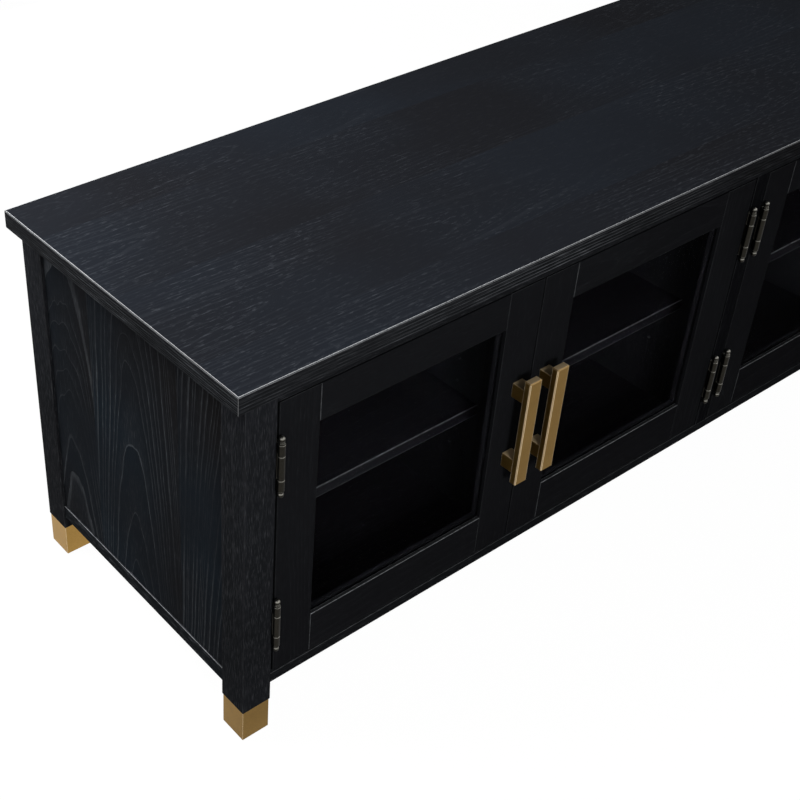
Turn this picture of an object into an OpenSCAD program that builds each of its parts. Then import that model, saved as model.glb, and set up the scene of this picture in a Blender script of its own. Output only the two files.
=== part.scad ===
// Media cabinet on four legs with brass feet: a framed carcass with recessed side panels,
// three partitions, four adjustable shelves and four inset glass doors on ball-tipped hinges.
// X runs along the front, Y runs from the door faces to the back, Z is up from the floor.
// The origin is on the floor, under the middle of the whole outline. Each sub-part is drawn with
// y = 0 in the plane of the door faces, and centred() moves it to the middle.

/* [Overall] */
// Width across the outer faces of the legs
body_w = 1583; // [1420:1:1760]
// Depth over the front and back faces of the legs
body_d = 419; // [390:1:470]
// Height from the floor to the underside of the top
body_h = 488; // [470:1:540]

/* [Top] */
// Thickness of the top
top_t = 22; // [20:1:32]
// Overhang of the top past each side
top_side = 18; // [0:1:40]
// Overhang of the top past the door faces
top_front = 12; // [0:1:30]
// Chamfer on the upper edges of the top
top_chamfer = 1; // [0.5:0.5:4]

/* [Legs and feet] */
// Side of the square leg
leg_w = 39; // [37:0.5:46]
// Height of the brass cap's rim above the floor
cap_h = 48; // [25:1:60]
// Wall of the brass cap
cap_wall = 1.2; // [0.8:0.1:2]
// Step from the leg's face in to the cap's face
cap_inset = 1; // [0.5:0.1:2]
// Thickness of the glide under each foot
glide_t = 1.5; // [1:0.5:4]
// Diameter of the glide
glide_d = 24; // [16:1:30]
// Diameter of the glide's shank
glide_shank_d = 6; // [4:0.5:8]
// Length of the glide's shank
glide_shank_l = 16; // [10:1:24]

/* [Frame] */
// Height of the side bottom rails' underside above the floor
side_rail_z = 66; // [62:1:80]
// Height of a side bottom rail
side_rail_h = 20; // [16:1:30]
// Height of a side top rail
side_top_rail_h = 22; // [18:1:40]
// Step from the leg's outer face in to the side rails
side_rail_recess = 2; // [0:0.5:5]
// Step from the side rails in to the side panel
panel_recess = 2; // [0:1:10]
// Height of the front bottom rail's underside above the floor
front_bottom_rail_z = 75.5; // [72:0.5:84]
// Height of the front bottom rail
front_bottom_rail_h = 14; // [12:0.5:20]
// Height of the front top rail
front_top_rail_h = 16.5; // [15:0.5:20]
// Thickness of the back rails
back_rail_t = 20; // [18:1:26]
// Height of the back bottom rail
back_bottom_rail_h = 28; // [26:1:40]
// Height of the back top rail
back_top_rail_h = 30; // [26:1:50]
// Width of the mullion between the two pairs of doors
mullion_w = 22; // [22:1:40]
// Length of the frame's tenons
tenon_l = 18; // [12:1:20]
// Thickness of the long rails' tenons
tenon_t = 8; // [6:0.5:9]
// Thickness of the side rails' tenons
side_tenon_t = 12; // [8:1:14]
// Step from a long rail's face in to its tenon
tenon_set = 4; // [3:0.5:5]
// Shoulder above and below a tenon
tenon_shoulder = 3; // [2:0.5:4]

/* [Panels and shelves] */
// Thickness of the side panels
panel_t = 19; // [16:1:20]
// Thickness of the partitions behind the meeting doors
partition_t = 19; // [18:1:25]
// Thickness of the bottom panel
bottom_t = 18; // [16:1:20]
// Step from the front bottom rail up to the bottom panel, which stops the doors
floor_step = 4.5; // [3:0.5:6]
// Thickness of the tongues on the side panels and partitions
tongue_t = 10; // [6:0.5:11]
// Length of the tongues
tongue_l = 6; // [4:0.5:7]
// Thickness of the bottom panel's tongues
bottom_tongue_t = 6; // [4:0.5:7]
// Step from the bottom panel's underside up to its tongues
bottom_tongue_z = 3.5; // [3:0.5:5]
// Thickness of the back panels
back_t = 6; // [4:0.5:8]
// Lap of the back panels on the frame
back_lap = 10; // [8:0.5:11]
// Diameter of the cable holes in the back panels
cable_hole_d = 60; // [40:1:80]
// Height of the cable holes' centres above the bottom panel
cable_hole_z = 60; // [55:1:90]
// Thickness of a shelf
shelf_t = 15; // [12:1:25]
// Distance from the door faces to the shelves' front edges
shelf_front = 62; // [50:1:90]
// Gap between the shelves' back edges and the back panels
shelf_back_gap = 8; // [4:1:20]
// Height of the lowest row of pin holes above the bottom panel
pin_row_z = 87.5; // [60:0.5:90]
// Pitch of the rows of pin holes
pin_pitch = 32; // [25:1:35]
// Number of rows of pin holes
pin_rows = 5; // [3:1:6]
// Row that the shelves rest on, counted from 0
shelf_row = 2; // [0:1:2]
// Distance from a shelf's front and back edges to its pins
pin_edge = 38; // [30:1:50]
// Diameter of a shelf pin
pin_hole_d = 5; // [4:0.5:6]
// Depth that a shelf pin enters its hole
pin_depth = 8; // [6:0.5:8.5]
// Length of a shelf pin's flat head
pin_head_l = 8; // [6:0.5:12]
// Width of a shelf pin's flat head
pin_head_w = 7; // [6:0.5:10]

/* [Doors] */
// Thickness of the doors
door_t = 19; // [18:1:22]
// Gap on the hinge side of a door
hinge_gap = 2.8; // [1.6:0.2:3]
// Gap between two meeting doors
meet_gap = 2.2; // [2.2:0.2:4]
// Gap above a door
door_top_gap = 2; // [1.5:0.5:4]
// Gap below a door
door_bottom_gap = 3; // [1.5:0.5:4]
// Width of the doors' stiles
stile_w = 52; // [44:1:65]
// Height of the doors' top rails
door_top_rail_h = 46.5; // [40:0.5:60]
// Height of the doors' bottom rails
door_bottom_rail_h = 57; // [45:0.5:65]
// Thickness of the wood in front of the glass
lip_t = 5; // [4:0.5:8]
// Width of the rebate that the glass sits in
rebate_w = 8; // [6:0.5:10]
// Thickness of the glass
glass_t = 4; // [3:0.5:5]
// Depth of the beads behind the glass
bead_t = 5; // [3:0.5:6]
// Length of the door tenons
door_tenon_l = 35; // [25:1:35]
// Thickness of the door tenons
door_tenon_t = 6; // [5:0.5:7]
// Step from a door's face in to its tenons
door_tenon_set = 6; // [5:0.5:7]
// Shoulder at the outer edge of a door tenon
door_tenon_shoulder = 8; // [6:0.5:12]

/* [Hinges] */
// Diameter of a hinge's barrel
barrel_d = 8; // [7:0.5:9]
// Length of the barrel and leaves
barrel_l = 60; // [50:1:76]
// Length of the frame leaf's end knuckles
end_knuckle_l = 14.5; // [9:0.5:17]
// Distance of the hinge axis in front of the door faces
axis_out = 6; // [5.5:0.5:8]
// Thickness of a leaf
leaf_t = 1.7; // [1.6:0.1:2]
// Margin from a leaf's back edge to the door's back face
leaf_margin = 2; // [1:0.5:4]
// Diameter of the hinge pin
hinge_pin_d = 4; // [3:0.5:4.5]
// Diameter of the ball tips
ball_d = 7; // [6:0.5:8]
// Diameter of the collars between the ball tips and the barrel
collar_d = 6; // [5:0.5:7]
// Depth that a ball tip is sunk in its collar
ball_sink = 1; // [0.5:0.1:2]
// Length of the collar between the upper ball tip and the barrel
collar_l = 3.5; // [2:0.5:6]
// Height of the ring on the upper collar
collar_ring_h = 1; // [0.6:0.1:1.6]
// Length of the collar between the lower ball tip and the barrel
lower_collar_l = 2.5; // [1:0.5:3]
// Distance from a door's top edge to the upper barrel
hinge_from_top = 46; // [30:1:90]
// Distance from a door's bottom edge to the lower barrel
hinge_from_bottom = 48; // [30:1:90]
// Straight part of a screw hole in a leaf, below the screw's head
screw_land = 0.1; // [0.1:0.1:0.5]
// Diameter of the hinge screws
hinge_screw_d = 3; // [2.5:0.5:3.5]
// Length of the hinge screws
hinge_screw_l = 11; // [8:0.5:11.5]

/* [Pulls] */
// Length of the pull's bar
pull_l = 148; // [130:1:200]
// Width of the bar
pull_w = 19; // [14:0.5:24]
// Thickness of the bar
pull_t = 9.5; // [5:0.5:10]
// Distance between the pull's posts
pull_pitch = 101.6; // [80:0.1:110]
// Width of a post
post_w = 15.5; // [10:0.5:17]
// Height of a post
post_h = 19; // [12:0.5:24]
// Distance from the door's face to the bar
post_l = 17.5; // [15:0.5:20]
// Distance from the door's free edge to the pull's centre line
pull_edge = 21; // [18:0.5:26]
// Chamfer on the pull's edges
pull_chamfer = 0.8; // [0.4:0.2:1.6]
// Diameter of the pull's screws
pull_screw_d = 4; // [3:0.5:5]
// Depth that a pull's screw enters its post
pull_screw_grip = 8; // [5:0.5:12]

/* [Catches] */
// Width of a magnetic catch
catch_w = 13; // [10:0.5:16]
// Depth of a magnetic catch
catch_d = 16; // [12:0.5:24]
// Length of a magnetic catch
catch_l = 40; // [30:1:50]
// Distance from a door's top edge to the centre of its catch
catch_drop = 30; // [28:1:60]
// Diameter of the strike on the door
strike_d = 14; // [10:0.5:18]
// Thickness of the strike
strike_t = 1.5; // [1:0.1:2]

/* [Screws] */
// Diameter of the screws that hold the top
top_screw_d = 4; // [3:0.5:5]
// Length of the screws that hold the top
top_screw_l = 30; // [24:1:30]
// Distance from a bay's middle to its outer top screws
top_screw_span = 270; // [150:5:300]
// Distance from the middle of a side rail to its screws
side_screw_span = 90; // [40:5:120]
// Depth that a top screw's head is sunk in the front rail
screw_sink = 2; // [1:0.5:3]
// Diameter of the screws that hold the back panels
back_screw_d = 3; // [2.5:0.5:4]
// Length of the screws that hold the back panels
back_screw_l = 16; // [12:1:18]

/* [Clearances] */
// Clearance around a tenon or tongue
joint_fit = 0.1; // [0.05:0.05:0.2]
// Clearance around a shank in its hole
shank_fit = 0.05; // [0.02:0.01:0.1]
// Room past the end of a screw or pin
tip_room = 1; // [0.5:0.5:2]
// Clearance around the hinge pin
pin_fit = 0.05; // [0.03:0.01:0.1]
// Gap between two knuckles
knuckle_gap = 0.3; // [0.2:0.1:0.6]
// Gap between the two closed leaves
leaf_gap = 0.4; // [0.3:0.1:0.8]
// Gap between a leaf's edge and the knuckle of the other leaf
leaf_relief = 0.5; // [0.3:0.1:0.8]
// Clearance around the glass in its rebate
glass_fit = 1; // [0.5:0.5:2]
// Clearance at each end of a shelf
shelf_fit = 1; // [0.5:0.5:2]
// Clearance around the edges of the back panels
back_fit = 0.5; // [0.3:0.1:1]
// Gap between a closed door and the bottom panel's front edge
stop_gap = 1; // [0.5:0.1:2]
// Gap between a closed door and the partitions
partition_gap = 3; // [2.5:0.5:6]
// Gap between a strike and its catch
catch_gap = 0.3; // [0.2:0.1:0.5]

/* [Hidden] */
$fn = 48;

WOOD = "#24262b";
WOOD_DARK = "#17181b";
BRASS = "#a98a4c";
PEWTER = "#5a554d";
STEEL = "#8d9196";
PLASTIC = "#1b1b1b";
GLASS = "#aab8bd";

cut = 0.5;                       // how far a cutting shape runs past the face that it opens
half_w = body_w / 2;
reach = max(top_front, post_l + pull_t, axis_out + barrel_d / 2);  // foremost point, from the doors
middle_y = (body_d - reach) / 2;

// Carcass levels and planes
floor_z = front_bottom_rail_z + front_bottom_rail_h + floor_step;
bottom_z = floor_z - bottom_t;
front_rail_d = door_t + partition_gap;
front_bottom_rail_d = door_t + stop_gap;
back_y = body_d - back_t;
back_rail_y = body_d - back_rail_t;
panel_x = side_rail_recess + panel_recess;
lining_x = panel_x + panel_t;    // from the leg's outer face to the side panel's inner face
foot_in = cap_inset + cap_wall + joint_fit;
foot_z = glide_t + cap_wall;

// Heights of the tenons, from the bottom edge to the top edge
front_top_tenon = [body_h - front_top_rail_h + tenon_shoulder, body_h - tenon_shoulder];
front_bottom_tenon = [front_bottom_rail_z + tenon_shoulder,
    front_bottom_rail_z + front_bottom_rail_h - tenon_shoulder];
back_top_tenon = [body_h - back_top_rail_h + back_lap + tenon_shoulder, body_h - tenon_shoulder];
back_bottom_tenon = [floor_z - back_bottom_rail_h + tenon_shoulder, floor_z - back_lap - tenon_shoulder];
side_top_tenon = [body_h - side_top_rail_h + tenon_shoulder, body_h - tenon_shoulder];
side_bottom_tenon = [side_rail_z + tenon_shoulder, side_rail_z + side_rail_h - tenon_shoulder];
side_tenon_x = (side_rail_recess + lining_x - side_tenon_t) / 2;
tongue_x = panel_x + (panel_t - tongue_t) / 2;
panel_low = side_rail_z + side_rail_h;
panel_high = body_h - side_top_rail_h;

// Back panel's opening in the frame
back_low = floor_z - back_lap;
back_high = body_h - back_top_rail_h + back_lap;
back_side_x = half_w - leg_w + back_lap;

// Bays and doors
bay_w = (body_w - 2 * leg_w - mullion_w) / 2;
bay_mid = (mullion_w + bay_w) / 2;
door_w = (bay_w - 2 * hinge_gap - meet_gap) / 2;
door_z = front_bottom_rail_z + front_bottom_rail_h + door_bottom_gap;
door_h = body_h - front_top_rail_h - door_top_gap - door_z;
door_edge_x = [
    -half_w + leg_w + hinge_gap,
    -mullion_w / 2 - hinge_gap,
    mullion_w / 2 + hinge_gap,
    half_w - leg_w - hinge_gap
];
opening_low = door_bottom_rail_h;
opening_high = door_h - door_top_rail_h;
pull_z = door_h / 2;

// Hinges, from the axis of the pin
barrel_r = barrel_d / 2;
leaf_y = axis_out + door_t - leaf_margin;
leaf_bed = leaf_t - (hinge_gap - leaf_gap) / 2;
hinge_z = [hinge_from_bottom, door_h - hinge_from_top - barrel_l];
hinge_screw_y = (barrel_r + leaf_relief + leaf_y + axis_out) / 2;
hinge_screw_z = [barrel_l / 6, barrel_l / 2, barrel_l * 5 / 6];
hinge_head_d = 2 * hinge_screw_d;
hinge_head_h = leaf_t - screw_land;
socket_l = lower_collar_l * 2;    // depth of the pin's end in the lower ball tip

// Shelves and their pins
shelf_z = floor_z + pin_row_z + shelf_row * pin_pitch + pin_hole_d / 2;
shelf_back = back_y - shelf_back_gap;
pin_y = [shelf_front + pin_edge, shelf_back - pin_edge];
side_lining = half_w - lining_x;
// Left and right walls of each compartment
walls = [
    [-side_lining, -bay_mid - partition_t / 2],
    [-bay_mid + partition_t / 2, -mullion_w / 2],
    [mullion_w / 2, bay_mid - partition_t / 2],
    [bay_mid + partition_t / 2, side_lining]
];

// Top screws
screw_head_z = body_h - front_top_rail_h + screw_sink;
top_screw_head_d = 2 * top_screw_d;
top_screw_head_h = top_screw_d / 2;
rail_screw_x = [for (bay = [-bay_mid, bay_mid], step = [-1, 0, 1]) bay + step * top_screw_span];
front_screw_y = front_rail_d / 2;
back_screw_y = body_d - back_rail_t / 2;
side_screw_x = half_w - (side_rail_recess + lining_x) / 2;
side_screw_y = [for (step = [-1, 1]) body_d / 2 + step * side_screw_span];
top_screw_places = concat(
    [for (x = rail_screw_x, y = [front_screw_y, back_screw_y]) [x, y]],
    [for (side = [-1, 1], y = side_screw_y) [side * side_screw_x, y]]
);

// Screws of the back panels: along both rails, and up the middle partition
back_screw_head_d = 2 * back_screw_d;
back_screw_head_h = back_screw_d / 2;
back_screw_places = concat(
    [for (x = rail_screw_x, z = [back_low + back_lap / 2, back_high - back_lap / 2]) [x, z]],
    [for (side = [-1, 1], part = [1, 2]) [side * mullion_w / 4, back_low + (back_high - back_low) * part / 3]]
);

// ---------------------------------------------------------------- shared shapes

// From the door faces' plane to the middle of the outline
module centred() {
    translate([0, -middle_y, 0]) children();
}

// Box between two opposite corners
module block(low, high) {
    translate(low) cube(high - low);
}

// Frame of a leg: x and y run inwards from its outer corner
module at_corner(side, row) {
    translate([side * half_w, row * body_d, 0])
        mirror([side > 0 ? 1 : 0, 0, 0])
            mirror([0, row, 0])
                children();
}

// Frame of a door: x runs from its hinge edge to its free edge, z from its bottom edge
module at_door(i) {
    translate([door_edge_x[i - 1], 0, door_z])
        mirror([1 - i % 2, 0, 0])
            children();
}

// Frame of each of a door's two hinges: z runs up the pin, x points to the door
module at_hinges(i) {
    for (z = hinge_z)
        at_door(i)
            translate([-hinge_gap / 2, -axis_out, z])
                children();
}

// Countersunk screw that points along +Z, its head's face at z = 0
module screw(d, head_d, head_h, l) {
    cylinder(h = head_h, d1 = head_d, d2 = d);
    cylinder(h = l, d = d);
}

// Box with a chamfer along all its edges, centred in x and z
module eased_bar(w, t, h, c) {
    hull() {
        translate([-w / 2 + c, 0, -h / 2 + c]) cube([w - 2 * c, t, h - 2 * c]);
        translate([-w / 2, c, -h / 2 + c]) cube([w, t - 2 * c, h - 2 * c]);
        translate([-w / 2 + c, c, -h / 2]) cube([w - 2 * c, t - 2 * c, h]);
    }
}

// ---------------------------------------------------------------- carcass

// Solid top with a fine chamfer round its upper edges
module top_panel() {
    x = half_w + top_side;
    c = top_chamfer;
    color(WOOD) difference() {
        intersection() {
            translate([0, body_d, body_h]) rotate([90, 0, 0]) linear_extrude(body_d + top_front)
                polygon([[-x, 0], [x, 0], [x, top_t - c], [x - c, top_t], [c - x, top_t], [-x, top_t - c]]);
            translate([-x, 0, body_h]) rotate([90, 0, 90]) linear_extrude(2 * x)
                polygon([[-top_front, 0], [body_d, 0], [body_d, top_t - c], [body_d - c, top_t],
                    [c - top_front, top_t], [-top_front, top_t - c]]);
        }
        top_screw_holes();
    }
}

// Shank holes of the top screws, with room for their heads below
module top_screw_holes() {
    for (p = top_screw_places)
        translate([p[0], p[1], screw_head_z]) {
            screw(top_screw_d + 2 * shank_fit, top_screw_head_d + 2 * shank_fit, top_screw_head_h,
                top_screw_l + tip_room);
            mirror([0, 0, 1])
                cylinder(h = back_top_rail_h, d = top_screw_head_d + 2 * shank_fit);
        }
}

module top_screws() {
    color(STEEL) for (p = top_screw_places)
        translate([p[0], p[1], screw_head_z])
            screw(top_screw_d, top_screw_head_d, top_screw_head_h, top_screw_l);
}

// Mortise in a leg for a long rail's tenon
module rail_mortise(tenon) {
    block([leg_w - tenon_l - joint_fit, tenon_set - joint_fit, tenon[0] - joint_fit],
        [leg_w + cut, tenon_set + tenon_t + joint_fit, tenon[1] + joint_fit]);
}

// Mortise in a leg for a side rail's tenon
module side_mortise(tenon) {
    block([side_tenon_x - joint_fit, leg_w - tenon_l - joint_fit, tenon[0] - joint_fit],
        [side_tenon_x + side_tenon_t + joint_fit, leg_w + cut, tenon[1] + joint_fit]);
}

// Square leg, stepped in at the foot for its brass cap
module leg(side, row) {
    color(WOOD) difference() {
        at_corner(side, row) difference() {
            union() {
                block([0, 0, cap_h], [leg_w, leg_w, body_h]);
                block([foot_in, foot_in, foot_z], [leg_w - foot_in, leg_w - foot_in, cap_h + cut]);
            }
            translate([leg_w / 2, leg_w / 2, 0])
                cylinder(h = glide_t + glide_shank_l + tip_room, d = glide_shank_d + 2 * shank_fit);
            rail_mortise(row == 0 ? front_top_tenon : back_top_tenon);
            rail_mortise(row == 0 ? front_bottom_tenon : back_bottom_tenon);
            side_mortise(side_top_tenon);
            side_mortise(side_bottom_tenon);
            block([tongue_x - joint_fit, leg_w - tongue_l - joint_fit, panel_low],
                [tongue_x + tongue_t + joint_fit, leg_w + cut, panel_high]);
            if (row == 1)
                block([leg_w - back_lap, -cut, back_low], [leg_w + cut, back_t, back_high]);
        }
        if (row == 0)
            hinge_beds(side < 0 ? 1 : 4);
    }
}

// Drawn brass cap, closed below round the glide's shank
module leg_caps() {
    color(BRASS) for (side = [-1, 1], row = [0, 1])
        at_corner(side, row) difference() {
            block([cap_inset, cap_inset, glide_t], [leg_w - cap_inset, leg_w - cap_inset, cap_h]);
            block([foot_in - joint_fit, foot_in - joint_fit, foot_z],
                [leg_w - foot_in + joint_fit, leg_w - foot_in + joint_fit, cap_h + cut]);
            translate([leg_w / 2, leg_w / 2, 0])
                cylinder(h = foot_z + cut, d = glide_shank_d + 2 * shank_fit);
        }
}

module glides() {
    color(PLASTIC) for (side = [-1, 1], row = [0, 1])
        at_corner(side, row) translate([leg_w / 2, leg_w / 2, 0]) {
            cylinder(h = glide_t, d = glide_d);
            cylinder(h = glide_t + glide_shank_l, d = glide_shank_d);
        }
}

// Rail between the two legs of one side, from its lower to its upper edge
module side_rail(side, low, high, tenon) {
    at_corner(side, 0) {
        block([side_rail_recess, leg_w, low], [lining_x, body_d - leg_w, high]);
        block([side_tenon_x, leg_w - tenon_l, tenon[0]],
            [side_tenon_x + side_tenon_t, body_d - leg_w + tenon_l, tenon[1]]);
    }
}

module side_bottom_rails() {
    color(WOOD) for (side = [-1, 1])
        difference() {
            side_rail(side, side_rail_z, panel_low, side_bottom_tenon);
            side_panel_blank(side, joint_fit);
        }
}

module side_top_rails() {
    color(WOOD) for (side = [-1, 1])
        difference() {
            side_rail(side, panel_high, body_h, side_top_tenon);
            side_panel_blank(side, joint_fit);
            top_screw_holes();
        }
}

// Side panel with a tongue on each edge, grown by a clearance where it cuts the rails
module side_panel_blank(side, fit) {
    at_corner(side, 0) {
        block([panel_x, leg_w, panel_low], [lining_x, body_d - leg_w, panel_high]);
        block([tongue_x - fit, leg_w, panel_low - tongue_l - fit],
            [tongue_x + tongue_t + fit, body_d - leg_w, panel_high + tongue_l + fit]);
        block([tongue_x - fit, leg_w - tongue_l, panel_low],
            [tongue_x + tongue_t + fit, body_d - leg_w + tongue_l, panel_high]);
    }
}

module side_panel(side) {
    color(WOOD) difference() {
        side_panel_blank(side, 0);
        pin_holes(side < 0 ? 1 : 4, side);
    }
}

// Rail along the front or back of the frame, with a tenon at each end
module long_rail(face_y, back_face_y, low, high, tenon_y, tenon) {
    x = half_w - leg_w;
    block([-x, face_y, low], [x, back_face_y, high]);
    block([-x - tenon_l, tenon_y, tenon[0]], [x + tenon_l, tenon_y + tenon_t, tenon[1]]);
}

module front_top_rail() {
    color(WOOD) difference() {
        long_rail(0, front_rail_d, body_h - front_top_rail_h, body_h, tenon_set, front_top_tenon);
        mullion_tenons(joint_fit);
        top_screw_holes();
    }
}

module front_bottom_rail() {
    color(WOOD) difference() {
        long_rail(0, front_bottom_rail_d, front_bottom_rail_z,
            front_bottom_rail_z + front_bottom_rail_h, tenon_set, front_bottom_tenon);
        mullion_tenons(joint_fit);
        bottom_tongues(joint_fit);
    }
}

module back_top_rail() {
    color(WOOD_DARK) difference() {
        long_rail(back_rail_y, body_d, body_h - back_top_rail_h, body_h,
            body_d - tenon_set - tenon_t, back_top_tenon);
        back_rebate();
        top_screw_holes();
        back_screw_holes();
    }
}

module back_bottom_rail() {
    color(WOOD_DARK) difference() {
        long_rail(back_rail_y, body_d, floor_z - back_bottom_rail_h, floor_z,
            body_d - tenon_set - tenon_t, back_bottom_tenon);
        back_rebate();
        bottom_tongues(joint_fit);
        back_screw_holes();
    }
}

// Recess in the frame that the back panels lie in
module back_rebate() {
    block([-back_side_x, back_y, back_low], [back_side_x, body_d + cut, back_high]);
}

// Tenons of the mullion in the front rails, grown by a clearance where they cut them
module mullion_tenons(fit) {
    x = mullion_w / 2 - tenon_shoulder + fit;
    block([-x, tenon_set - fit, front_bottom_tenon[0] - fit],
        [x, tenon_set + tenon_t + fit, front_top_tenon[1] + fit]);
}

// Front post between the two pairs of doors, which both inner doors hang on
module mullion() {
    color(WOOD) difference() {
        union() {
            block([-mullion_w / 2, 0, front_bottom_rail_z + front_bottom_rail_h],
                [mullion_w / 2, front_rail_d, body_h - front_top_rail_h]);
            mullion_tenons(0);
        }
        // Seat on the bottom panel, which stands higher than the front bottom rail
        block([-mullion_w, front_bottom_rail_d, front_bottom_rail_z],
            [mullion_w, front_rail_d + cut, floor_z]);
        hinge_beds(2);
        hinge_beds(3);
    }
}

// Tongue under a partition, grown by a clearance where it cuts the bottom panel
module partition_tongue(x, fit) {
    block([x - tongue_t / 2 - fit, front_rail_d - fit, floor_z - tongue_l - fit],
        [x + tongue_t / 2 + fit, back_rail_y, floor_z + cut]);
}

// Upright board from the bottom panel to the top, notched round the back top rail
module partition(x, t) {
    difference() {
        union() {
            block([x - t / 2, front_rail_d, floor_z], [x + t / 2, back_y, body_h]);
            partition_tongue(x, 0);
        }
        block([x - t, back_rail_y, body_h - back_top_rail_h], [x + t, back_y + cut, body_h + cut]);
        back_screw_holes();
    }
}

module partition_left() {
    color(WOOD_DARK) difference() {
        partition(-bay_mid, partition_t);
        pin_holes(1, 1);
        pin_holes(2, -1);
    }
}

module partition_middle() {
    color(WOOD_DARK) difference() {
        partition(0, mullion_w);
        pin_holes(2, 1);
        pin_holes(3, -1);
    }
}

module partition_right() {
    color(WOOD_DARK) difference() {
        partition(bay_mid, partition_t);
        pin_holes(3, 1);
        pin_holes(4, -1);
    }
}

// Tongues along the bottom panel's front and back edges
module bottom_tongues(fit) {
    x = half_w - leg_w;
    z = bottom_z + bottom_tongue_z;
    block([-x, front_bottom_rail_d - tongue_l - fit, z - fit],
        [x, back_rail_y + tongue_l + fit, z + bottom_tongue_t + fit]);
}

// Bottom panel, notched round the four legs and housed for the partitions
module bottom_panel() {
    x = half_w - lining_x;
    color(WOOD_DARK) difference() {
        union() {
            block([-x, front_bottom_rail_d, bottom_z], [x, back_rail_y, floor_z]);
            bottom_tongues(0);
        }
        for (side = [-1, 1], row = [0, 1])
            at_corner(side, row)
                block([0, 0, bottom_z - cut], [leg_w, leg_w, floor_z + cut]);
        for (p = [-bay_mid, 0, bay_mid])
            partition_tongue(p, joint_fit);
    }
}

// Panels in the back rebate, one to each bay, with a cable hole behind each compartment
module back_panels() {
    color(WOOD_DARK) for (side = [-1, 1])
        difference() {
            block([side < 0 ? -back_side_x + back_fit : back_fit, back_y, back_low + back_fit],
                [side < 0 ? -back_fit : back_side_x - back_fit, body_d, back_high - back_fit]);
            for (wall = walls)
                translate([(wall[0] + wall[1]) / 2, back_y - cut, floor_z + cable_hole_z])
                    rotate([-90, 0, 0])
                        cylinder(h = back_t + 2 * cut, d = cable_hole_d);
            back_screw_holes();
        }
}

// Screws through the back panels, pointing forwards
module at_back_screws() {
    for (p = back_screw_places)
        translate([p[0], body_d, p[1]]) rotate([90, 0, 0]) children();
}

module back_screw_holes() {
    at_back_screws()
        screw(back_screw_d + 2 * shank_fit, back_screw_head_d + 2 * shank_fit, back_screw_head_h,
            back_screw_l + tip_room);
}

module back_screws() {
    color(STEEL) at_back_screws()
        screw(back_screw_d, back_screw_head_d, back_screw_head_h, back_screw_l);
}

// ---------------------------------------------------------------- shelves

// Rows of holes in one wall of compartment i, on its left (-1) or its right (1)
module pin_holes(i, side) {
    wall = walls[i - 1][side < 0 ? 0 : 1];
    for (row = [0 : pin_rows - 1], y = pin_y)
        translate([wall, y, floor_z + pin_row_z + row * pin_pitch]) rotate([0, 90, 0])
            cylinder(h = 2 * (pin_depth + shank_fit), d = pin_hole_d + 2 * shank_fit, center = true);
}

// Shelf of compartment i, lying on the flat heads of its four pins and notched round a back leg
module shelf(i) {
    notch = leg_w + shelf_fit;
    color(WOOD_DARK) difference() {
        block([walls[i - 1][0] + shelf_fit, shelf_front, shelf_z],
            [walls[i - 1][1] - shelf_fit, shelf_back, shelf_z + shelf_t]);
        for (side = [-1, 1])
            at_corner(side, 1)
                block([0, 0, shelf_z - cut], [notch, notch, shelf_z + shelf_t + cut]);
    }
}

module shelf_pins() {
    color(STEEL) for (wall = walls, side = [0, 1], y = pin_y)
        translate([wall[side], y, shelf_z]) mirror([side, 0, 0]) {
            translate([-pin_depth, 0, -pin_hole_d / 2]) rotate([0, 90, 0])
                cylinder(h = pin_depth + pin_head_l / 2, d = pin_hole_d);
            block([0, -pin_head_w / 2, -pin_hole_d], [pin_head_l, pin_head_w / 2, 0]);
        }
}

// ---------------------------------------------------------------- doors

// Recess for the glass and its beads, over the thickness from y0 to y1
module rebate(y0, y1, fit) {
    block([stile_w - rebate_w + fit, y0, opening_low - rebate_w + fit],
        [door_w - stile_w + rebate_w - fit, y1, opening_high + rebate_w - fit]);
}

// Tenons of the bottom and top rails, grown by a clearance where they cut the stiles
module door_tenons(fit) {
    x = stile_w - door_tenon_l - fit;
    for (z = [[door_tenon_shoulder, opening_low - rebate_w - tenon_shoulder],
            [opening_high + rebate_w + tenon_shoulder, door_h - door_tenon_shoulder]])
        block([x, door_tenon_set - fit, z[0] - fit],
            [door_w - x, door_tenon_set + door_tenon_t + fit, z[1] + fit]);
}

// Two stiles the full height of the door
module door_stiles(i) {
    color(WOOD) difference() {
        at_door(i) difference() {
            union() {
                block([0, 0, 0], [stile_w, door_t, door_h]);
                block([door_w - stile_w, 0, 0], [door_w, door_t, door_h]);
            }
            rebate(lip_t, door_t + cut, 0);
            door_tenons(joint_fit);
            pull_screws(shank_fit);
            strike_screw(shank_fit);
        }
        door_hinge_beds(i);
    }
}

// Bottom and top rails, tenoned into the stiles
module door_rails(i) {
    color(WOOD) at_door(i) difference() {
        union() {
            block([stile_w, 0, 0], [door_w - stile_w, door_t, door_bottom_rail_h]);
            block([stile_w, 0, opening_high], [door_w - stile_w, door_t, door_h]);
            intersection() {
                door_tenons(0);
                union() {
                    block([0, 0, 0], [door_w, door_t, opening_low]);
                    block([0, 0, opening_high], [door_w, door_t, door_h]);
                }
            }
        }
        rebate(lip_t, door_t + cut, 0);
    }
}

module door_glass(i) {
    color(GLASS, 0.35) at_door(i)
        rebate(lip_t, lip_t + glass_t, glass_fit);
}

// Four beads pinned into the rebate, which hold the glass from inside
module door_beads(i) {
    y = lip_t + glass_t;
    x = stile_w - rebate_w;
    color(WOOD) at_door(i) {
        for (z = [opening_low - rebate_w, opening_high])
            block([x, y, z], [door_w - x, y + bead_t, z + rebate_w]);
        for (left = [x, door_w - stile_w])
            block([left, y, opening_low + joint_fit],
                [left + rebate_w, y + bead_t, opening_high - joint_fit]);
    }
}

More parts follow.
